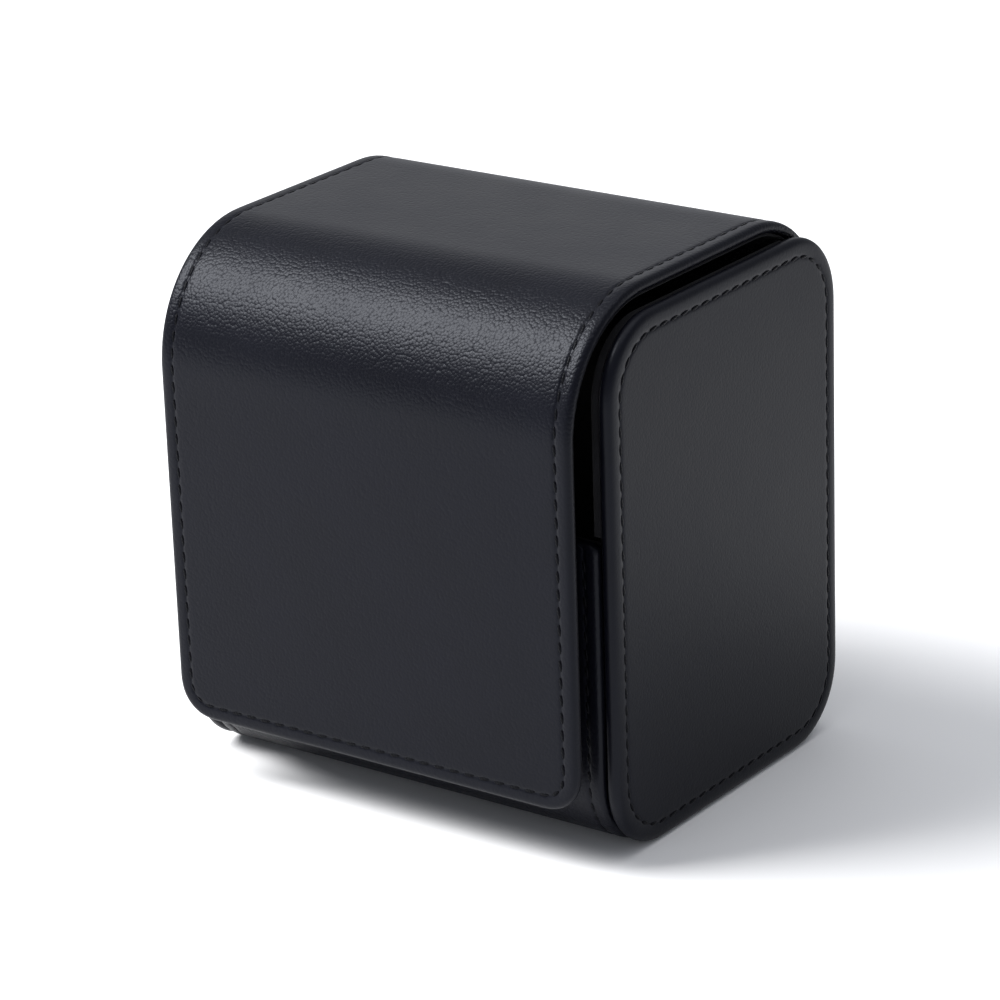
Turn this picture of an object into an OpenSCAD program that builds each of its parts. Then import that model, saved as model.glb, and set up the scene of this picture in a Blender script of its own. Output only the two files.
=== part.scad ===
// Deck box for standard playing and trading cards: two stitched end panels
// with one leather strip between them. The strip is the front wall, the
// bottom, the back wall, the hinge, the lid and the closing flap in turn.
// X runs along the deck, Y to the back, Z up. Lengths are in millimetres.

/* [End panels] */
// Front-to-back size of an end panel
panel_depth = 80; // [76:0.5:90]
// Height of an end panel
panel_height = 107; // [104:0.5:114]
// Corner radius of an end panel
panel_corner_r = 15.3; // [13:0.1:16]
// Thickness of an end panel over its leather
panel_t = 3.1; // [3:0.1:3.6]
// Radius of the soft rim of an end panel
panel_rim_r = 1.4; // [0.6:0.1:1.4]
// Clear distance between the two end panels
inside_w = 97.3; // [90:0.1:120]
// Thickness of a lined inner wall
inner_wall_t = 1.6; // [1.2:0.1:2.2]
// How far an inner wall stays inside the rim of its end panel
inner_wall_inset = 1; // [0.8:0.1:1.6]

/* [Leather strip] */
// Gap between the strip's edge and an end panel
strip_side_gap = 0.35; // [0.3:0.05:0.6]
// Thickness of the strip: leather with its backing
strip_t = 2.4; // [2.2:0.1:2.6]
// Leather left over a board
skin_t = 0.9; // [0.8:0.1:1]
// Thickness of the soft lining
lining_t = 0.6; // [0.4:0.1:0.6]
// Height of the low front wall
front_wall_h = 65.5; // [56:0.5:68]

/* [Lid and flap] */
// Rise of the lid above the end panels
lid_rise = 4.5; // [4.2:0.1:6]
// How far the flap stands in front of the end panels
flap_stand = 8.5; // [8:0.1:9]
// Outer radius of the bend behind the lid
back_bend_r = 23; // [22:0.5:26]
// Outer radius of the bend between lid and flap
front_bend_r = 26; // [24:0.5:28]
// Height of the flap's lower edge
flap_bottom_z = 12.4; // [8:0.1:18]
// Radius of the flap's lower corners
flap_corner_r = 7.5; // [7:0.5:12]
// Thickness of the closure pad behind the flap
pad_t = 5.1; // [4.4:0.1:5.1]
// Width of the closure pad
pad_w = 80; // [60:1:84]
// Height of the closure pad
pad_h = 38; // [30:1:40]

/* [Seams and magnets] */
// Distance of each seam from the edge
seam_inset = 3.2; // [2.8:0.1:3.6]
// Thickness of the sewing thread
thread_t = 0.6; // [0.4:0.1:0.8]
// Radius of a closure magnet
magnet_r = 6; // [4:0.5:8]
// Distance of a magnet from the middle of the box
magnet_x = 25; // [15:1:30]

/* [Hidden] */
$fn = 96;

board_t = strip_t - skin_t;
side_x = inside_w / 2;
strip_x = side_x - strip_side_gap;
seam_x = strip_x - seam_inset;
board_x = seam_x - 1.2;
// The end panels sit behind the middle, because the flap stands in front
panel_y = flap_stand / 2;
panel_front_y = panel_y - panel_depth / 2;
panel_back_y = panel_y + panel_depth / 2;
flap_front_y = panel_front_y - flap_stand;
top_z = panel_height + lid_rise;
// Centres of the two bends of the lid
back_bend_y = panel_back_y - back_bend_r;
back_bend_z = top_z - back_bend_r;
front_bend_y = flap_front_y + front_bend_r;
front_bend_z = top_z - front_bend_r;
// Cut between pieces that move apart
joint_gap = 0.3;
// Space taken by glue between a soft sheet and what it lies on
glue_t = 0.05;
wall_t = strip_t + glue_t + lining_t;
cap_r = wall_t / 2;
cap_z = front_wall_h - cap_r;
// Reach of the clipping squares, past every piece
reach = 400;
// Boards stop short of the corners
board_end_gap = 1;
side_board_inset = 1.9;
side_board_t = panel_t - 2 * skin_t;
// Seam groove
groove_w = thread_t + 0.3;
groove_d = 0.45;
thread_d = 0.4;
// Closure magnets
magnet_t = 2;
body_magnet_t = board_t - 0.1;
magnet_z = 50;
pad_z = 41;
pad_corner_r = 6;
pad_rim_r = 1.6;
pad_front_y = flap_front_y + wall_t + glue_t;
pad_cover_t = 0.9;

// ---------- shared outlines ----------

// Outline drawn in Y and Z, extruded along X from x0 to x1
module along_x(x0, x1) {
    translate([x0, 0, 0])
        rotate([90, 0, 90])
            linear_extrude(x1 - x0)
                children();
}

// Outline drawn in X and Z, extruded along Y from y0 to y1
module along_y(y0, y1) {
    translate([0, y1, 0])
        rotate([90, 0, 0])
            linear_extrude(y1 - y0)
                children();
}

module rounded_outline(w, h, r) {
    square([w - 2 * r, h], center = true);
    square([w, h - 2 * r], center = true);
    for (sx = [-1, 1], sy = [-1, 1])
        translate([sx * (w / 2 - r), sy * (h / 2 - r)])
            circle(r);
}

// End panel's outline, moved inwards
module end_outline(inset) {
    translate([panel_y, panel_height / 2])
        rounded_outline(
            panel_depth - 2 * inset,
            panel_height - 2 * inset,
            panel_corner_r - inset
        );
}

// Section of a soft rim: r is its reach, e the radius of its two edges
module rim_section(r, t, e) {
    square([r - e, t]);
    translate([0, e])
        square([r, t - 2 * e]);
    translate([r - e, e])
        circle(e);
    translate([r - e, t - e])
        circle(e);
}

// Flat panel with rounded corners of radius r and soft edges of radius e
module soft_panel(w, h, r, t, e) {
    linear_extrude(t)
        square([w - 2 * r, h - 2 * r], center = true);
    for (s = [0, 1]) {
        rotate(180 * s)
            translate([w / 2 - r, h / 2 - r, 0])
                rotate([90, 0, 0])
                    linear_extrude(h - 2 * r)
                        rim_section(r, t, e);
        rotate(90 + 180 * s)
            translate([h / 2 - r, w / 2 - r, 0])
                rotate([90, 0, 0])
                    linear_extrude(w - 2 * r)
                        rim_section(r, t, e);
        rotate(180 * s)
            translate([w / 2 - r, h / 2 - r, 0])
                rotate_extrude(angle = 90)
                    rim_section(r, t, e);
        rotate(90 + 180 * s)
            translate([h / 2 - r, w / 2 - r, 0])
                rotate_extrude(angle = 90)
                    rim_section(r, t, e);
    }
}

// Everything under the lid's outer surface moved inwards by d
module under_lid(d) {
    translate([back_bend_y, back_bend_z])
        circle(back_bend_r - d);
    translate([front_bend_y, front_bend_z])
        circle(front_bend_r - d);
    translate([front_bend_y, 0])
        square([back_bend_y - front_bend_y, top_z - d]);
    translate([flap_front_y + d, 0])
        square([front_bend_y - flap_front_y - d, front_bend_z]);
    translate([back_bend_y, 0])
        square([back_bend_r - d, back_bend_z]);
}

// Band of the lid and flap between two depths below the surface
module closure_band(d0, d1) {
    difference() {
        under_lid(d0);
        under_lid(d1);
    }
}

// Half-plane on the lid's side of the fold between lid and flap
module lid_side_of_fold() {
    translate([front_bend_y, front_bend_z])
        rotate(45)
            translate([joint_gap / 2, -reach / 2])
                square([reach, reach]);
}

// Half-plane on the flap's side of that fold
module flap_side_of_fold() {
    translate([front_bend_y, front_bend_z])
        rotate(45)
            translate([-reach - joint_gap / 2, -reach / 2])
                square([reach, reach]);
}

// Section of the lid: back bend, flat top and half of the front bend
module lid_section(d0, d1) {
    intersection() {
        closure_band(d0, d1);
        lid_side_of_fold();
        translate([-reach / 2, back_bend_z + joint_gap / 2])
            square([reach, reach]);
    }
}

// Section of the flap, from the fold down to bottom_z
module flap_section(d0, d1, bottom_z) {
    intersection() {
        closure_band(d0, d1);
        flap_side_of_fold();
        translate([flap_front_y - 1, bottom_z])
            square([front_bend_y - flap_front_y, reach]);
    }
}

// Section of the body's wall, from the front up and over to the hinge
module wall_section(d0, d1, front_z) {
    intersection() {
        difference() {
            end_outline(d0);
            end_outline(d1);
        }
        union() {
            translate([panel_front_y - 1, -1])
                square([panel_depth / 2 + 1, front_z + 1]);
            translate([panel_y, -1])
                square([
                    panel_depth / 2 + 1,
                    back_bend_z - joint_gap / 2 + 1
                ]);
        }
    }
}

// Flap seen from the front, moved inwards, with round lower corners
module flap_outline(inset) {
    r = flap_corner_r - inset;
    translate([inset - strip_x, flap_bottom_z + flap_corner_r])
        square([2 * (strip_x - inset), reach]);
    translate([flap_corner_r - strip_x, flap_bottom_z + inset])
        square([2 * (strip_x - flap_corner_r), reach]);
    for (s = [-1, 1])
        translate([
            s * (strip_x - flap_corner_r),
            flap_bottom_z + flap_corner_r
        ])
            circle(r);
}

// ---------- end panels ----------

module side_leather(x0, groove_x0) {
    difference() {
        translate([x0, panel_y, panel_height / 2])
            rotate([90, 0, 90])
                soft_panel(
                    panel_depth, panel_height,
                    panel_corner_r, panel_t, panel_rim_r
                );
        along_x(x0 + skin_t, x0 + panel_t - skin_t)
            end_outline(side_board_inset - glue_t);
        along_x(groove_x0, groove_x0 + groove_d)
            difference() {
                end_outline(seam_inset - groove_w / 2);
                end_outline(seam_inset + groove_w / 2);
            }
    }
}

module side_board(x0) {
    color("#8b8378")
        along_x(x0, x0 + side_board_t)
            end_outline(side_board_inset);
}

module side_thread(x0) {
    color("#15161a")
        along_x(x0, x0 + thread_d)
            difference() {
                end_outline(seam_inset - thread_t / 2);
                end_outline(seam_inset + thread_t / 2);
            }
}

// Lined wall glued inside an end panel; it clears the strip and the lid
module inner_wall(x0) {
    color("#26272b")
        along_x(x0, x0 + inner_wall_t)
            difference() {
                end_outline(inner_wall_inset);
                wall_section(-1, wall_t + glue_t, front_wall_h + 0.5);
                difference() {
                    translate([back_bend_y, back_bend_z - 2])
                        square([reach, reach]);
                    under_lid(wall_t + joint_gap + glue_t);
                }
            }
}

module left_side_leather() {
    color("#2b2d32")
        side_leather(-side_x - panel_t, -side_x - panel_t);
}

module right_side_leather() {
    color("#2b2d32")
        side_leather(side_x, side_x + panel_t - groove_d);
}

module left_side_board() {
    side_board(-side_x - panel_t + skin_t);
}

module right_side_board() {
    side_board(side_x + skin_t);
}

module left_side_thread() {
    side_thread(-side_x - panel_t + groove_d - thread_d);
}

module right_side_thread() {
    side_thread(side_x + panel_t - groove_d);
}

module left_inner_wall() {
    inner_wall(-side_x);
}

module right_inner_wall() {
    inner_wall(side_x - inner_wall_t);
}

// ---------- front, bottom and back ----------

// Room for each board in the strip, in Y and Z; margin widens it
module front_board_room(margin) {
    translate([
        panel_front_y + skin_t - margin,
        panel_corner_r + board_end_gap - margin
    ])
        square([
            board_t + margin,
            cap_z - panel_corner_r - 2 * board_end_gap + 2 * margin
        ]);
}

module bottom_board_room(margin) {
    translate([
        panel_front_y + panel_corner_r + board_end_gap - margin,
        skin_t - margin
    ])
        square([
            panel_depth - 2 * (panel_corner_r + board_end_gap - margin),
            board_t + margin
        ]);
}

module back_board_room(margin) {
    translate([
        panel_back_y - strip_t,
        panel_corner_r + board_end_gap - margin
    ])
        square([
            board_t + margin,
            back_bend_z - panel_corner_r - 3 * board_end_gap + 2 * margin
        ]);
}

module wrap_leather() {
    color("#2a2c33")
        difference() {
            union() {
                along_x(-strip_x, strip_x)
                    wall_section(0, strip_t, cap_z);
                // Turned edge along the top of the front wall
                along_x(-strip_x, strip_x)
                    intersection() {
                        translate([panel_front_y + cap_r, cap_z])
                            circle(cap_r);
                        translate([panel_front_y, cap_z])
                            square([wall_t, cap_r]);
                    }
            }
            along_x(-board_x - glue_t, board_x + glue_t) {
                front_board_room(glue_t);
                bottom_board_room(glue_t);
                back_board_room(glue_t);
            }
            for (s = [-1, 1])
                along_x(s * seam_x - groove_w / 2, s * seam_x + groove_w / 2)
                    wall_section(-1, groove_d, cap_z);
        }
}

module wrap_thread() {
    color("#15161a")
        for (s = [-1, 1])
            along_x(s * seam_x - thread_t / 2, s * seam_x + thread_t / 2)
                wall_section(groove_d - thread_d, groove_d, cap_z);
}

module front_board() {
    color("#8b8378")
        difference() {
            along_x(-board_x, board_x)
                front_board_room(0);
            for (s = [-1, 1])
                translate([s * magnet_x, panel_front_y, magnet_z])
                    rotate([-90, 0, 0])
                        cylinder(h = wall_t, r = magnet_r + 0.1);
        }
}

module bottom_board() {
    color("#8b8378")
        along_x(-board_x, board_x)
            bottom_board_room(0);
}

module back_board() {
    color("#8b8378")
        along_x(-board_x, board_x)
            back_board_room(0);
}

// Soft lining glued to the inner face of the strip
module well_lining() {
    color("#1d1e22")
        along_x(-strip_x, strip_x)
            wall_section(strip_t + glue_t, wall_t, cap_z - glue_t);
}

module body_magnets() {
    color("#b9bcc0")
        for (s = [-1, 1])
            translate([s * magnet_x, panel_front_y + skin_t, magnet_z])
                rotate([-90, 0, 0])
                    cylinder(h = body_magnet_t, r = magnet_r);
}

// ---------- lid ----------

module lid_board_room(margin) {
    translate([
        front_bend_y + board_end_gap - margin,
        top_z - strip_t
    ])
        square([
            back_bend_y - front_bend_y - 2 * (board_end_gap - margin),
            board_t + margin
        ]);
}

module lid_top_leather() {
    color("#3a3c42")
        difference() {
            along_x(-strip_x, strip_x)
                lid_section(0, strip_t);
            along_x(-board_x - glue_t, board_x + glue_t)
                lid_board_room(glue_t);
            for (s = [-1, 1])
                along_x(s * seam_x - groove_w / 2, s * seam_x + groove_w / 2)
                    lid_section(-1, groove_d);
        }
}

module lid_top_board() {
    color("#8b8378")
        along_x(-board_x, board_x)
            lid_board_room(0);
}

module lid_top_lining() {
    color("#1d1e22")
        along_x(-strip_x, strip_x)
            lid_section(strip_t + glue_t, wall_t);
}

module lid_top_thread() {
    color("#15161a")
        for (s = [-1, 1])
            along_x(s * seam_x - thread_t / 2, s * seam_x + thread_t / 2)
                lid_section(groove_d - thread_d, groove_d);
}

// ---------- closing flap ----------

// Strip between two depths, trimmed to the flap's outline
module flap_sheet(d0, d1, inset) {
    intersection() {
        along_x(-strip_x + inset, strip_x - inset)
            flap_section(d0, d1, flap_bottom_z);
        along_y(flap_front_y - 2, front_bend_y)
            flap_outline(inset);
    }
}

// U-shaped seam of width w between two depths
module flap_seam(w, d0, d1) {
    along_y(flap_front_y + d0, flap_front_y + d1)
        difference() {
            flap_outline(seam_inset - w / 2);
            flap_outline(seam_inset + w / 2);
            translate([-reach / 2, front_bend_z])
                square([reach, 2 * reach]);
        }
    for (s = [-1, 1])
        along_x(s * seam_x - w / 2, s * seam_x + w / 2)
            flap_section(d0, d1, front_bend_z);
}

module flap_leather() {
    color("#2a2c33")
        difference() {
            flap_sheet(0, strip_t, 0);
            translate([0, flap_front_y + skin_t, 0])
                flap_board_block(glue_t);
            flap_seam(groove_w, -1, groove_d);
        }
}

// Board of the flap, with its front face at Y = 0
module flap_board_block(margin) {
    along_y(-margin, board_t)
        translate([
            -board_x - margin,
            flap_bottom_z + flap_corner_r - margin
        ])
            square([
                2 * (board_x + margin),
                front_bend_z - board_end_gap
                    - flap_bottom_z - flap_corner_r + 2 * margin
            ]);
}

module flap_board() {
    color("#8b8378")
        translate([0, flap_front_y + skin_t, 0])
            flap_board_block(0);
}

module flap_lining() {
    color("#1d1e22")
        flap_sheet(strip_t + glue_t, wall_t, 0.8);
}

// Padded block that carries the magnets and meets the low front wall
module flap_pad() {
    color("#26272b")
        difference() {
            translate([0, pad_front_y + pad_t, pad_z])
                rotate([90, 0, 0])
                    soft_panel(pad_w, pad_h, pad_corner_r, pad_t, pad_rim_r);
            flap_magnet_set(magnet_r + glue_t, magnet_t + glue_t);
        }
}

// Both flap magnets, against the pad's cover
module flap_magnet_set(r, t) {
    for (s = [-1, 1])
        translate([
            s * magnet_x,
            pad_front_y + pad_t - pad_cover_t,
            magnet_z
        ])
            rotate([90, 0, 0])
                cylinder(h = t, r = r);
}

module flap_magnets() {
    color("#b9bcc0")
        flap_magnet_set(magnet_r, magnet_t);
}

module flap_thread() {
    color("#15161a")
        flap_seam(thread_t, groove_d - thread_d, groove_d);
}

left_side_leather();
right_side_leather();
left_side_board();
right_side_board();
left_side_thread();
right_side_thread();
left_inner_wall();
right_inner_wall();
wrap_leather();
wrap_thread();
front_board();
bottom_board();
back_board();
well_lining();
body_magnets();
lid_top_leather();
lid_top_board();
lid_top_lining();
lid_top_thread();
flap_leather();
flap_board();
flap_lining();
flap_pad();
flap_magnets();
flap_thread();
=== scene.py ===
# Deck box for sleeved cards, in black leatherette. It is put together here in the order that a
# maker would: the two sewn end panels, the inner walls, the strip that is wall, lid and flap in
# one, its lining, the seams, the closure pad, and the boards and magnets inside.
import math

import bmesh
import bpy
from mathutils import Matrix, Vector


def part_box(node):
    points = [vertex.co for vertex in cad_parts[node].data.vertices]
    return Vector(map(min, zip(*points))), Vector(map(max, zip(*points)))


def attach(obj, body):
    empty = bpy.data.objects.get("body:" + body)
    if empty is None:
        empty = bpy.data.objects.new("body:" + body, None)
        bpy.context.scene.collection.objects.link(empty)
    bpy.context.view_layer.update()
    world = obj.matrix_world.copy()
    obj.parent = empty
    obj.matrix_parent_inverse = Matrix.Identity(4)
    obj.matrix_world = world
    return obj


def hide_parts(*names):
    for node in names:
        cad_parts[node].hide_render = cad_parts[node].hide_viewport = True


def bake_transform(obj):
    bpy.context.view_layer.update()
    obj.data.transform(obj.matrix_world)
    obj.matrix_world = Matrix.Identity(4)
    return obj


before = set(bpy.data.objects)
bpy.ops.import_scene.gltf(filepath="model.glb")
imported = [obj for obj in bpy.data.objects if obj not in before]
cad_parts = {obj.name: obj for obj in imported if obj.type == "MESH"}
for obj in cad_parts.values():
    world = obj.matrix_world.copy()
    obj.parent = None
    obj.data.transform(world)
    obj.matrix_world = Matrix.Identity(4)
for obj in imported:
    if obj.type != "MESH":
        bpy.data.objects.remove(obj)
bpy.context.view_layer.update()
MM = 0.001


# ---------------------------------------------------------------------------
# End panel covers
# Each end of the box is a stiff board wrapped in black leatherette. The wrap is pulled round
# to a soft rim and sewn through all round, so the seam lies in a shallow channel.

end_low, end_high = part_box("right_side_leather")
end_corner = 15.3 * MM
# Section of the sewn edge, in millimetres: how far in from the edge, and how far out from the
# panel's face. It runs from the hidden side, round the rim, through the channel to the flat.
end_edge = [
    (4.0, -3.1), (1.5, -3.1), (0.62, -2.86), (0.13, -2.3), (0.0, -1.6), (0.1, -0.95),
    (0.45, -0.38), (1.1, -0.06), (2.1, 0.0), (2.9, -0.02), (3.38, -0.08), (3.68, -0.28),
    (3.95, -0.11), (4.3, -0.06), (5.0, -0.05), (6.4, -0.05),
]
end_channel = 11
# Rows of points along the cover's sides and round its corners: two rows to a stitch
upright_rows = 44
level_rows = 28
corner_rows = 11


class Drawn:
    """A section of sheet drawn out along its path. It keeps every ring of points and the way
    that the good side faces at each, and marks the points where the sheet is bent."""

    def __init__(self, bm, points, outwards, closed=False):
        self.bm = bm
        self.closed = closed
        self.across = bm.verts.layers.int.get("across") or bm.verts.layers.int.new("across")
        self.bent = bm.verts.layers.float.get("bent") or bm.verts.layers.float.new("bent")
        self.ring = []
        for number, point in enumerate(points):
            corner = bm.verts.new(point)
            corner[self.across] = number
            self.ring.append(corner)
        for a, b in self.neighbours():
            bm.edges.new((a, b))
        self.outwards = Vector(outwards)
        self.rings = [(self.ring, self.outwards.copy())]

    def neighbours(self):
        pairs = list(zip(self.ring, self.ring[1:]))
        if self.closed:
            pairs.append((self.ring[-1], self.ring[0]))
        return pairs

    def next_ring(self):
        edges = [self.bm.edges.get(pair) for pair in self.neighbours()]
        made = bmesh.ops.extrude_edge_only(self.bm, edges=edges)["geom"]
        fresh = [g for g in made if isinstance(g, bmesh.types.BMVert)]
        self.ring = sorted(fresh, key=lambda v: v[self.across])

    def straight(self, shift, steps):
        for _ in range(steps):
            self.next_ring()
            bmesh.ops.translate(self.bm, verts=self.ring, vec=Vector(shift) / steps)
            self.mark(0.0)
            self.rings.append((self.ring, self.outwards.copy()))

    def bend(self, centre, axis, angle, steps):
        turn = Matrix.Rotation(angle / steps, 3, axis)
        for step in range(1, steps + 1):
            self.next_ring()
            bmesh.ops.rotate(self.bm, verts=self.ring, cent=centre, matrix=turn)
            curled = (turn @ self.outwards - self.outwards).length > 0.001
            self.mark(curled * min(1.0, 4 * step / steps, 4 * (steps - step) / steps))
            self.outwards = turn @ self.outwards
            self.rings.append((self.ring, self.outwards.copy()))

    def mark(self, amount):
        for corner in self.ring:
            corner[self.bent] = amount

    def seam(self, number):
        return [(ring[number].co.copy(), out) for ring, out in self.rings]


def press_channel(rings, channel, first=0):
    """Sinks the leather under every stitch and lets it rise again between two stitches."""
    rise, sink = 0.3 * MM, 0.42 * MM
    rise_beside, sink_beside = 0.06 * MM, 0.12 * MM
    for place, (ring, out) in enumerate(rings):
        between = (place - first) % 2 == 0
        ring[channel].co += out * (rise if between else -sink)
        for beside in (channel - 1, channel + 1):
            ring[beside].co += out * (rise_beside if between else -sink_beside)


def fill_flat(bm, number, low, high, bands):
    """Closes the flat inside a sewn edge, in level bands from one side to the other."""
    across = bm.verts.layers.int["across"]
    crease = bm.edges.layers.float.get("crease_edge") or bm.edges.layers.float.new("crease_edge")
    edges = [e for e in bm.edges if e.is_boundary and all(v[across] in number for v in e.verts)]
    for e in edges:
        e[crease] = float(e.verts[0][across] == e.verts[1][across])
    flat = bmesh.ops.contextual_create(bm, geom=edges)["faces"]
    for band in range(bands + 1):
        level = low + (high - low) * band / bands
        rims = dict.fromkeys(part for f in flat for part in (*f.edges, *f.verts))
        cut = bmesh.ops.bisect_plane(
            bm, geom=flat + list(rims), dist=0.01 * MM, plane_co=(0, 0, level), plane_no=(0, 0, 1),
        )
        flat = [part for part in cut["geom"] if isinstance(part, bmesh.types.BMFace)]


def input_of(node, name, value):
    node.inputs[name].default_value = value


def leatherette(name, flat_pebble, bent_pebble):
    """Black coated leather: a satin skin, faintly clouded, whose pebble opens on a bend."""
    black = (0.0028, 0.0030, 0.0056)
    skin = bpy.data.materials.new(name)
    skin.use_nodes = True
    tree = skin.node_tree
    shader = tree.nodes["Principled BSDF"]
    place = tree.nodes.new("ShaderNodeTexCoord")

    cells = tree.nodes.new("ShaderNodeTexVoronoi")
    input_of(cells, "Scale", 1650.0)
    tree.links.new(place.outputs["Object"], cells.inputs["Vector"])

    pores = tree.nodes.new("ShaderNodeTexNoise")
    input_of(pores, "Scale", 3200.0)
    input_of(pores, "Detail", 1.0)
    tree.links.new(place.outputs["Object"], pores.inputs["Vector"])

    clouds = tree.nodes.new("ShaderNodeTexNoise")
    input_of(clouds, "Scale", 55.0)
    input_of(clouds, "Detail", 3.0)
    input_of(clouds, "Roughness", 0.6)
    tree.links.new(place.outputs["Object"], clouds.inputs["Vector"])

    colour = tree.nodes.new("ShaderNodeValToRGB")
    colour.color_ramp.elements[0].position = 0.3
    colour.color_ramp.elements[0].color = (*[c * 0.86 for c in black], 1)
    colour.color_ramp.elements[1].position = 0.72
    colour.color_ramp.elements[1].color = (*[c * 1.14 for c in black], 1)
    tree.links.new(clouds.outputs["Fac"], colour.inputs["Fac"])
    tree.links.new(colour.outputs["Color"], shader.inputs["Base Color"])

    satin = tree.nodes.new("ShaderNodeMapRange")
    input_of(satin, "To Min", 0.32)
    input_of(satin, "To Max", 0.42)
    tree.links.new(clouds.outputs["Fac"], satin.inputs["Value"])
    tree.links.new(satin.outputs["Result"], shader.inputs["Roughness"])
    input_of(shader, "Specular IOR Level", 0.14)
    input_of(shader, "Specular Tint", (0.86, 0.9, 1.0, 1))

    grain = tree.nodes.new("ShaderNodeBump")
    bent = tree.nodes.new("ShaderNodeAttribute")
    bent.attribute_name = "bent"
    open_grain = tree.nodes.new("ShaderNodeMapRange")
    input_of(open_grain, "To Min", flat_pebble)
    input_of(open_grain, "To Max", bent_pebble)
    tree.links.new(bent.outputs["Fac"], open_grain.inputs["Value"])
    tree.links.new(open_grain.outputs["Result"], grain.inputs["Strength"])
    input_of(grain, "Distance", 0.0003)
    grain.invert = True
    domes = tree.nodes.new("ShaderNodeMath")
    domes.operation = "POWER"
    domes.inputs[1].default_value = 2.2
    tree.links.new(cells.outputs["Distance"], domes.inputs[0])
    tree.links.new(domes.outputs["Value"], grain.inputs["Height"])
    fine = tree.nodes.new("ShaderNodeBump")
    input_of(fine, "Strength", 0.35)
    input_of(fine, "Distance", 0.00004)
    tree.links.new(pores.outputs["Fac"], fine.inputs["Height"])
    tree.links.new(grain.outputs["Normal"], fine.inputs["Normal"])
    tree.links.new(fine.outputs["Normal"], shader.inputs["Normal"])
    return skin


def finished(bm, name, finish, rounds=0):
    """Turns a shape into a smooth piece with its finish."""
    bmesh.ops.recalc_face_normals(bm, faces=bm.faces)
    mesh = bpy.data.meshes.new(name)
    bm.to_mesh(mesh)
    bm.free()
    for face in mesh.polygons:
        face.use_smooth = True
    piece = bpy.data.objects.new(name, mesh)
    bpy.context.scene.collection.objects.link(piece)
    mesh.materials.append(finish)
    if rounds:
        softening = piece.modifiers.new("Softening", "SUBSURF")
        softening.levels = rounds
        softening.render_levels = rounds
    return piece


def sew(bm, line):
    """Lays one slanted thread stitch from each needle hole of a seam line to the next."""
    width, thickness, lift = 0.78 * MM, 0.5 * MM, 0.06 * MM
    shown_length = 0.72
    slant = math.radians(9.0)
    holes = line[::2]
    for (a, out_a), (b, out_b) in zip(holes, holes[1:]):
        along = b - a
        out = (out_a + out_b).normalized()
        side = out.cross(along).normalized()
        out = along.cross(side).normalized()
        lie = Matrix((side, out, along.normalized())).transposed().to_4x4()
        size = Matrix.Diagonal((width, thickness, along.length * shown_length, 1))
        at = Matrix.Translation((a + b) / 2 + out * lift)
        tilt = Matrix.Rotation(slant, 4, "Y")
        bmesh.ops.create_uvsphere(
            bm, u_segments=8, v_segments=8, radius=0.5, matrix=at @ lie @ tilt @ size
        )


def waxed_thread():
    """Black sewing thread with a low sheen and the twist of its plies."""
    thread = bpy.data.materials.new("Black waxed thread")
    thread.use_nodes = True
    tree = thread.node_tree
    shader = tree.nodes["Principled BSDF"]
    input_of(shader, "Roughness", 0.42)
    input_of(shader, "Specular IOR Level", 0.07)
    input_of(shader, "Specular Tint", (0.86, 0.9, 1.0, 1))
    place = tree.nodes.new("ShaderNodeTexCoord")
    plies = tree.nodes.new("ShaderNodeTexWave")
    plies.bands_direction = "DIAGONAL"
    input_of(plies, "Scale", 900.0)
    input_of(plies, "Distortion", 1.5)
    tree.links.new(place.outputs["Object"], plies.inputs["Vector"])
    shade = tree.nodes.new("ShaderNodeValToRGB")
    shade.color_ramp.elements[0].color = (0.001, 0.001, 0.0014, 1)
    shade.color_ramp.elements[1].color = (0.0035, 0.0036, 0.005, 1)
    tree.links.new(plies.outputs["Color"], shade.inputs["Fac"])
    tree.links.new(shade.outputs["Color"], shader.inputs["Base Color"])
    ridges = tree.nodes.new("ShaderNodeBump")
    input_of(ridges, "Strength", 0.5)
    input_of(ridges, "Distance", 0.00006)
    tree.links.new(plies.outputs["Color"], ridges.inputs["Height"])
    tree.links.new(ridges.outputs["Normal"], shader.inputs["Normal"])
    return thread


end_skin = leatherette("End panel leatherette", 0.06, 0.06)
black_thread = waxed_thread()
depth = end_high.y - end_low.y
height = end_high.z - end_low.z
for side, hand in (("left", -1), ("right", 1)):
    face_x = hand * end_high.x
    out = Vector((hand, 0, 0))
    bm = bmesh.new()
    foot = Vector((face_x, end_low.y, end_corner))
    points = [foot + Vector((0, u, 0)) * MM + out * h * MM for u, h in end_edge]
    cover = Drawn(bm, points, out)
    corners = [
        Vector((face_x, end_low.y + end_corner, end_high.z - end_corner)),
        Vector((face_x, end_high.y - end_corner, end_high.z - end_corner)),
        Vector((face_x, end_high.y - end_corner, end_corner)),
        Vector((face_x, end_low.y + end_corner, end_corner)),
    ]
    runs = [
        (Vector((0, 0, height - 2 * end_corner)), upright_rows),
        (Vector((0, depth - 2 * end_corner, 0)), level_rows),
        (Vector((0, 0, 2 * end_corner - height)), upright_rows),
        (Vector((0, 2 * end_corner - depth, 0)), level_rows),
    ]
    for (run, steps), corner in zip(runs, corners):
        cover.straight(run, steps)
        cover.bend(corner, "X", -math.pi / 2, corner_rows)
    seam = cover.seam(end_channel)
    press_channel(cover.rings, end_channel)
    bmesh.ops.remove_doubles(bm, verts=bm.verts, dist=0.005 * MM)
    for ring in (0, len(end_edge) - 1):
        fill_flat(bm, {ring}, end_corner, end_high.z - end_corner, upright_rows)
    panel = finished(bm, f"{side}_end_cover", end_skin, rounds=1)
    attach(panel, "body")
    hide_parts(f"{side}_side_leather")

    bm = bmesh.new()
    sew(bm, seam)
    stitches = finished(bm, f"{side}_end_stitches", black_thread)
    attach(stitches, "body")
    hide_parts(f"{side}_side_thread")


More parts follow.
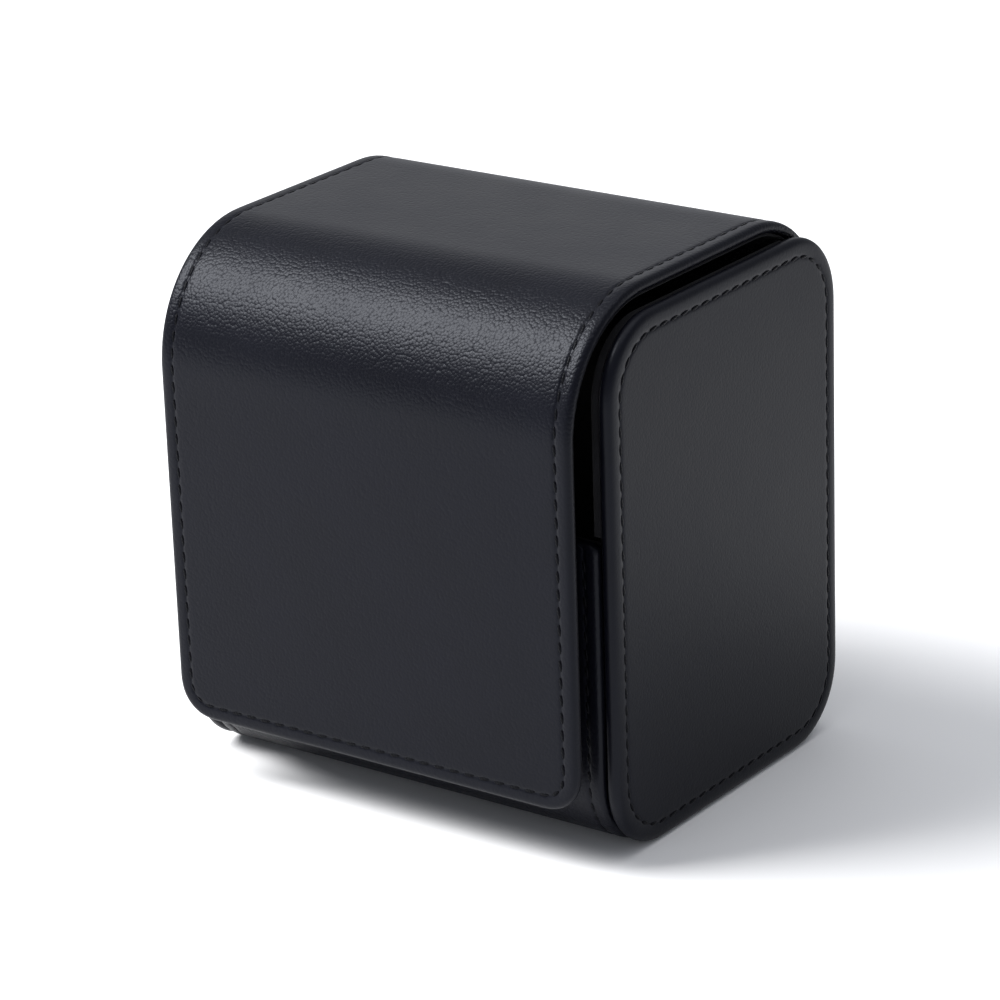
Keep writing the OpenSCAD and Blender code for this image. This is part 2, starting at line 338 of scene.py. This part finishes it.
# ---------------------------------------------------------------------------
# Inner walls
# Behind each end panel a thinner wall stands in the well, covered in soft black microfibre. Its
# front and top edges show beside the lid, just inside the rim of the end panel.

def microfibre(name):
    """Short-napped black lining cloth."""
    cloth = bpy.data.materials.new(name)
    cloth.use_nodes = True
    tree = cloth.node_tree
    shader = tree.nodes["Principled BSDF"]
    input_of(shader, "Roughness", 0.9)
    input_of(shader, "Specular IOR Level", 0.15)
    input_of(shader, "Sheen Weight", 0.08)
    input_of(shader, "Sheen Roughness", 0.45)
    place = tree.nodes.new("ShaderNodeTexCoord")
    nap = tree.nodes.new("ShaderNodeTexNoise")
    input_of(nap, "Scale", 5200.0)
    input_of(nap, "Detail", 2.0)
    tree.links.new(place.outputs["Object"], nap.inputs["Vector"])
    brushed = tree.nodes.new("ShaderNodeTexNoise")
    input_of(brushed, "Scale", 90.0)
    input_of(brushed, "Detail", 4.0)
    input_of(brushed, "Distortion", 1.2)
    tree.links.new(place.outputs["Object"], brushed.inputs["Vector"])
    both = tree.nodes.new("ShaderNodeMix")
    input_of(both, "Factor", 0.45)
    tree.links.new(brushed.outputs["Fac"], both.inputs["A"])
    tree.links.new(nap.outputs["Fac"], both.inputs["B"])
    shade = tree.nodes.new("ShaderNodeValToRGB")
    shade.color_ramp.elements[0].position = 0.35
    shade.color_ramp.elements[0].color = (0.004, 0.004, 0.005, 1)
    shade.color_ramp.elements[1].position = 0.65
    shade.color_ramp.elements[1].color = (0.011, 0.011, 0.0135, 1)
    tree.links.new(both.outputs["Result"], shade.inputs["Fac"])
    tree.links.new(shade.outputs["Color"], shader.inputs["Base Color"])
    fibres = tree.nodes.new("ShaderNodeBump")
    input_of(fibres, "Strength", 0.5)
    input_of(fibres, "Distance", 0.0001)
    tree.links.new(nap.outputs["Fac"], fibres.inputs["Height"])
    tree.links.new(fibres.outputs["Normal"], shader.inputs["Normal"])
    return cloth


lining_cloth = microfibre("Black microfibre")
for side in ("left", "right"):
    bm = bmesh.new()
    bm.from_mesh(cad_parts[f"{side}_inner_wall"].data)
    bmesh.ops.remove_doubles(bm, verts=bm.verts, dist=0.002 * MM)
    bmesh.ops.dissolve_limit(
        bm, angle_limit=math.radians(0.5), verts=bm.verts, edges=bm.edges,
        use_dissolve_boundaries=False,
    )
    sharp = [e for e in bm.edges if e.calc_face_angle(0) > math.radians(60)]
    bmesh.ops.bevel(
        bm, geom=sharp, offset=0.5 * MM, offset_type="OFFSET", affect="EDGES",
        segments=3, profile=0.5, material=-1, clamp_overlap=True,
    )
    wall = finished(bm, f"{side}_well_wall", lining_cloth)
    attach(wall, "body")
    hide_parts(f"{side}_inner_wall")


# ---------------------------------------------------------------------------
# Leather strip
# One strip of leatherette, sewn along both edges, runs down the front wall, under the box, up
# the back, over as the lid and down again as the flap. Boards stiffen the flat stretches, and
# the two bends are left soft so that the lid and the flap can fold.

strip_low, strip_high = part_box("wrap_leather")
lid_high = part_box("lid_top_leather")[1]
flap_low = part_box("flap_leather")[0]
strip_half = strip_high.x
wall_corner = 15.3 * MM
back_bend = 23.0 * MM
front_bend = 26.0 * MM
flap_corner = 7.5 * MM
front_wall_top = 65.3 * MM
back_bend_centre = Vector((0, strip_high.y - back_bend, lid_high.z - back_bend))
front_bend_centre = Vector((0, flap_low.y + front_bend, lid_high.z - front_bend))
# The strip is worked in two lengths that meet on the flat of the lid
lid_middle = 0.5 * MM
flap_rows = 37
# Section of the strip's sewn edge, measured as for the end panels, from the hidden side out
strip_edge = [
    (5.0, -2.4), (1.2, -2.4), (0.5, -2.25), (0.12, -1.85), (0.0, -1.3), (0.1, -0.75),
    (0.42, -0.28), (1.0, -0.03), (1.7, 0.0), (2.4, -0.02), (2.9, -0.08), (3.2, -0.3),
    (3.48, -0.1), (3.85, -0.03), (4.8, -0.02), (6.2, -0.02),
]
strip_channel = 11


def across_strip(edge):
    """Whole section of the strip from one sewn edge: both edges, with the flat between."""
    half = [(-strip_half + u * MM, h * MM) for u, h in edge]
    return half + [(-x, h) for x, h in reversed(half)]


def wall_and_lid(bm, edge, wall_top):
    """Draws the length that is front wall, bottom, back and the rear of the lid."""
    points = [Vector((x, strip_low.y - h, wall_top)) for x, h in across_strip(edge)]
    sheet = Drawn(bm, points, (0, -1, 0), closed=True)
    flat = strip_high.y - strip_low.y - 2 * wall_corner
    sheet.straight((0, 0, wall_corner - wall_top), 28)
    sheet.bend(Vector((0, strip_low.y + wall_corner, wall_corner)), "X", math.pi / 2, 14)
    sheet.straight((0, flat, 0), 28)
    sheet.bend(Vector((0, strip_high.y - wall_corner, wall_corner)), "X", math.pi / 2, 14)
    sheet.straight((0, 0, back_bend_centre.z - wall_corner), 41)
    sheet.bend(back_bend_centre, "X", math.pi / 2, 22)
    sheet.straight((0, lid_middle - back_bend_centre.y, 0), 11)
    return sheet


def lid_and_flap(bm, edge):
    """Draws the length that is the front of the lid and the flap with its round corners."""
    points = [Vector((x, lid_middle, lid_high.z + h)) for x, h in across_strip(edge)]
    sheet = Drawn(bm, points, (0, 0, 1), closed=True)
    sheet.straight((0, front_bend_centre.y - lid_middle, 0), 11)
    sheet.bend(front_bend_centre, "X", math.pi / 2, 24)
    last = sheet.rings[-1][0]
    edge_points = [v.co.copy() for v in last[: len(edge)]]
    hem = Drawn(bm, edge_points, (0, -1, 0))
    drop = front_bend_centre.z - flap_low.z - flap_corner
    width = 2 * (strip_half - flap_corner)
    level = flap_low.z + flap_corner
    hem.straight((0, 0, -drop), flap_rows)
    hem.bend(Vector((flap_corner - strip_half, 0, level)), "Y", -math.pi / 2, 5)
    hem.straight((width, 0, 0), 46)
    hem.bend(Vector((strip_half - flap_corner, 0, level)), "Y", -math.pi / 2, 5)
    hem.straight((0, 0, drop), flap_rows)
    return sheet, hem


def close_end(bm, ring, sharp):
    """Closes the end of a length; a sharp end meets the next length without a step."""
    crease = bm.edges.layers.float.get("crease_edge") or bm.edges.layers.float.new("crease_edge")
    edges = [bm.edges.get(pair) for pair in zip(ring, ring[1:] + ring[:1])]
    bmesh.ops.contextual_create(bm, geom=edges)
    if sharp:
        for e in edges:
            e[crease] = 1.0
            e.smooth = False


strip_skin = leatherette("Strip leatherette", 0.13, 0.29)

bm = bmesh.new()
rear = wall_and_lid(bm, strip_edge, front_wall_top)
far = len(rear.ring) - 1
rear_left = rear.seam(strip_channel)
rear_right = rear.seam(far - strip_channel)
press_channel(rear.rings, strip_channel)
press_channel(rear.rings, far - strip_channel)
close_end(bm, rear.rings[0][0], False)
close_end(bm, rear.rings[-1][0], True)
rear_leather = finished(bm, "wall_and_lid_leather", strip_skin, rounds=1)
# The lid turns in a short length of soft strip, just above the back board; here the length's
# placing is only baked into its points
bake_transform(rear_leather)
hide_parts("wrap_leather", "lid_top_leather")

bm = bmesh.new()
front, hem = lid_and_flap(bm, strip_edge)
front_left = front.seam(strip_channel)
front_right = front.seam(far - strip_channel)
hem_line = hem.seam(strip_channel)
press_channel(front.rings, strip_channel)
press_channel(front.rings, far - strip_channel)
press_channel(hem.rings, strip_channel, first=len(front.rings) - 1)
close_end(bm, front.rings[0][0], True)
bmesh.ops.remove_doubles(bm, verts=bm.verts, dist=0.3 * MM)
flat_edge = len(strip_edge) - 1
for ring in ({flat_edge, flat_edge + 1}, {0, far}):
    fill_flat(bm, ring, flap_low.z + flap_corner, front_bend_centre.z, flap_rows)
front_leather = finished(bm, "lid_and_flap_leather", strip_skin, rounds=1)
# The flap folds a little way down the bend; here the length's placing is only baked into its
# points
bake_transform(front_leather)
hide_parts("flap_leather")


# ---------------------------------------------------------------------------
# Seams of the strip
# Both edges of the strip are sewn with the same black thread, about three and a half
# millimetres to a stitch; on the flap the seam turns the two corners and runs along the bottom.

bm = bmesh.new()
sew(bm, rear_left[2:])
sew(bm, rear_right[2:])
rear_stitches = finished(bm, "wall_and_lid_stitches", black_thread)
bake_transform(rear_stitches)
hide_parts("wrap_thread", "lid_top_thread")

bm = bmesh.new()
sew(bm, front_left + hem_line[1:-1] + front_right[::-1])
front_stitches = finished(bm, "lid_and_flap_stitches", black_thread)
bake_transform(front_stitches)
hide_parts("flap_thread")


# ---------------------------------------------------------------------------
# Lining
# Soft black microfibre is glued over the whole inner side of the strip, a little short of its
# edges, so that it shows as a thin darker band when the box is seen from the side.

# Section of the lining's edge, from its soft side to its glued side
lining_edge = [
    (5.0, -3.02), (1.1, -3.02), (0.8, -2.86), (0.7, -2.72),
    (0.8, -2.56), (1.1, -2.42), (5.0, -2.42),
]
lining_far = 2 * len(lining_edge) - 1

bm = bmesh.new()
rear_sheet = wall_and_lid(bm, lining_edge, front_wall_top - 1.0 * MM)
close_end(bm, rear_sheet.rings[0][0], True)
close_end(bm, rear_sheet.rings[-1][0], True)
rear_lining = finished(bm, "wall_and_lid_lining", lining_cloth, rounds=1)
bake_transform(rear_lining)
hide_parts("well_lining", "lid_top_lining")

bm = bmesh.new()
front_sheet = lid_and_flap(bm, lining_edge)[0]
close_end(bm, front_sheet.rings[0][0], True)
bmesh.ops.remove_doubles(bm, verts=bm.verts, dist=0.1 * MM)
for ring in ({len(lining_edge) - 1, len(lining_edge)}, {0, lining_far}):
    fill_flat(bm, ring, flap_low.z + flap_corner, front_bend_centre.z, flap_rows)
front_lining = finished(bm, "lid_and_flap_lining", lining_cloth, rounds=1)
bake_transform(front_lining)
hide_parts("flap_lining")


# ---------------------------------------------------------------------------
# Closure pad
# A stiff block wrapped in the lining cloth is glued behind the flap. It fills the space to the
# low front wall and holds two magnets.

pad_low, pad_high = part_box("flap_pad")
pad_corner = 6 * MM
pad_edge = 1.6 * MM
bm = bmesh.new()
bmesh.ops.create_cube(bm, size=1.0)
bmesh.ops.scale(bm, verts=bm.verts, vec=pad_high - pad_low)
bmesh.ops.translate(bm, verts=bm.verts, vec=(pad_low + pad_high) / 2)
upright = [e for e in bm.edges if abs(e.verts[0].co.y - e.verts[1].co.y) > 1 * MM]
bmesh.ops.bevel(
    bm, geom=upright, offset=pad_corner, offset_type="OFFSET", affect="EDGES", segments=8,
    profile=0.5, material=-1,
)
outline = [
    e for e in bm.edges
    if abs(e.verts[0].co.y - e.verts[1].co.y) < 0.1 * MM
    and e.calc_face_angle(0) > math.radians(60)
]
bmesh.ops.bevel(
    bm, geom=outline, offset=pad_edge, offset_type="OFFSET", affect="EDGES", segments=5,
    profile=0.5, material=-1,
)
pad = finished(bm, "closure_pad", lining_cloth)
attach(pad, "lid_front")
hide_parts("flap_pad")


# ---------------------------------------------------------------------------
# Boards
# Grey bookbinder's board stiffens the end panels and the flat stretches of the strip. It is
# sealed between the leather and the lining.

board = bpy.data.materials.new("Grey board")
board.use_nodes = True
tree = board.node_tree
shader = tree.nodes["Principled BSDF"]
input_of(shader, "Roughness", 0.88)
place = tree.nodes.new("ShaderNodeTexCoord")
pulp = tree.nodes.new("ShaderNodeTexNoise")
input_of(pulp, "Scale", 700.0)
input_of(pulp, "Detail", 6.0)
tree.links.new(place.outputs["Object"], pulp.inputs["Vector"])
shade = tree.nodes.new("ShaderNodeValToRGB")
shade.color_ramp.elements[0].color = (0.22, 0.2, 0.17, 1)
shade.color_ramp.elements[1].color = (0.44, 0.4, 0.35, 1)
tree.links.new(pulp.outputs["Fac"], shade.inputs["Fac"])
tree.links.new(shade.outputs["Color"], shader.inputs["Base Color"])
for name in (
    "left_side_board", "right_side_board", "front_board", "bottom_board", "back_board",
    "lid_top_board", "flap_board",
):
    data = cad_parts[name].data
    data.materials.clear()
    data.materials.append(board)


# ---------------------------------------------------------------------------
# Magnets
# Two nickel-plated discs sit in the front wall and two in the closure pad, under the cloth.

nickel = bpy.data.materials.new("Nickel plate")
nickel.use_nodes = True
tree = nickel.node_tree
shader = tree.nodes["Principled BSDF"]
input_of(shader, "Metallic", 1.0)
place = tree.nodes.new("ShaderNodeTexCoord")
haze = tree.nodes.new("ShaderNodeTexNoise")
input_of(haze, "Scale", 400.0)
input_of(haze, "Detail", 4.0)
tree.links.new(place.outputs["Object"], haze.inputs["Vector"])
shade = tree.nodes.new("ShaderNodeValToRGB")
shade.color_ramp.elements[0].color = (0.48, 0.47, 0.44, 1)
shade.color_ramp.elements[1].color = (0.66, 0.65, 0.62, 1)
tree.links.new(haze.outputs["Fac"], shade.inputs["Fac"])
tree.links.new(shade.outputs["Color"], shader.inputs["Base Color"])
polish = tree.nodes.new("ShaderNodeMapRange")
input_of(polish, "To Min", 0.18)
input_of(polish, "To Max", 0.34)
tree.links.new(haze.outputs["Fac"], polish.inputs["Value"])
tree.links.new(polish.outputs["Result"], shader.inputs["Roughness"])
for name in ("body_magnets", "flap_magnets"):
    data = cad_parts[name].data
    data.materials.clear()
    data.materials.append(nickel)


# ---------------------------------------------------------------------------
# Floor, lamps and camera
# A plain pale floor, a bright even sky and three large soft lamps. A long lens looks a little
# down on the front and right-hand sides.

bm = bmesh.new()
bmesh.ops.create_grid(bm, x_segments=1, y_segments=1, size=6.0)
bmesh.ops.translate(bm, verts=bm.verts, vec=(0, 0, -0.0002))
floor_mesh = bpy.data.meshes.new("floor")
bm.to_mesh(floor_mesh)
bm.free()
floor = bpy.data.objects.new("floor", floor_mesh)
bpy.context.scene.collection.objects.link(floor)
pale = bpy.data.materials.new("Pale floor")
pale.use_nodes = True
surface = pale.node_tree.nodes["Principled BSDF"]
input_of(surface, "Base Color", (0.93, 0.93, 0.935, 1))
input_of(surface, "Roughness", 0.9)
input_of(surface, "Specular IOR Level", 0.0)
floor_mesh.materials.append(pale)

sky = bpy.data.worlds.new("Soft sky")
sky.use_nodes = True
input_of(sky.node_tree.nodes["Background"], "Color", (0.89, 0.925, 1.0, 1))
input_of(sky.node_tree.nodes["Background"], "Strength", 0.43)
bpy.context.scene.world = sky
bpy.context.scene.view_settings.view_transform = "Standard"


def soft_lamp(name, at, towards, size, power):
    """Square soft box aimed at a point."""
    lamp = bpy.data.lights.new(name, "AREA")
    lamp.size = size
    lamp.energy = power
    shown = bpy.data.objects.new(name, lamp)
    shown.location = at
    shown.rotation_mode = "QUATERNION"
    shown.rotation_quaternion = (Vector(towards) - Vector(at)).to_track_quat("-Z", "Y")
    bpy.context.scene.collection.objects.link(shown)


soft_lamp("front_lamp", (-0.76, -0.55, 1.08), (0, 0, 0.07), 0.7, 33.5)
soft_lamp("top_lamp", (0.1, 0.1, 1.5), (0, 0, 0.0), 1.2, 6.0)
soft_lamp("back_lamp", (-0.82, 1.12, 0.62), (0, 0, 0.08), 0.9, 1.1)

camera_data = bpy.data.cameras.new("camera")
camera = bpy.data.objects.new("camera", camera_data)
bpy.context.scene.collection.objects.link(camera)
bpy.context.scene.camera = camera
camera_data.sensor_width = 36.0
camera_data.lens = 153.0
azimuth, elevation, roll = (math.radians(a) for a in (36.15, 20.55, -1.95))
ahead = Vector((
    -math.sin(azimuth) * math.cos(elevation),
    math.cos(azimuth) * math.cos(elevation),
    -math.sin(elevation),
))
level = ahead.cross(Vector((0, 0, 1))).normalized()
above = level.cross(ahead)
right = level * math.cos(roll) + above * math.sin(roll)
up = right.cross(ahead)
camera.rotation_mode = "QUATERNION"
camera.rotation_quaternion = Matrix((right, up, -ahead)).transposed().to_quaternion()
camera.location = Vector((466.8, -638.5, 349.5)) * MM
camera_data.clip_start = 0.05
camera_data.clip_end = 20.0
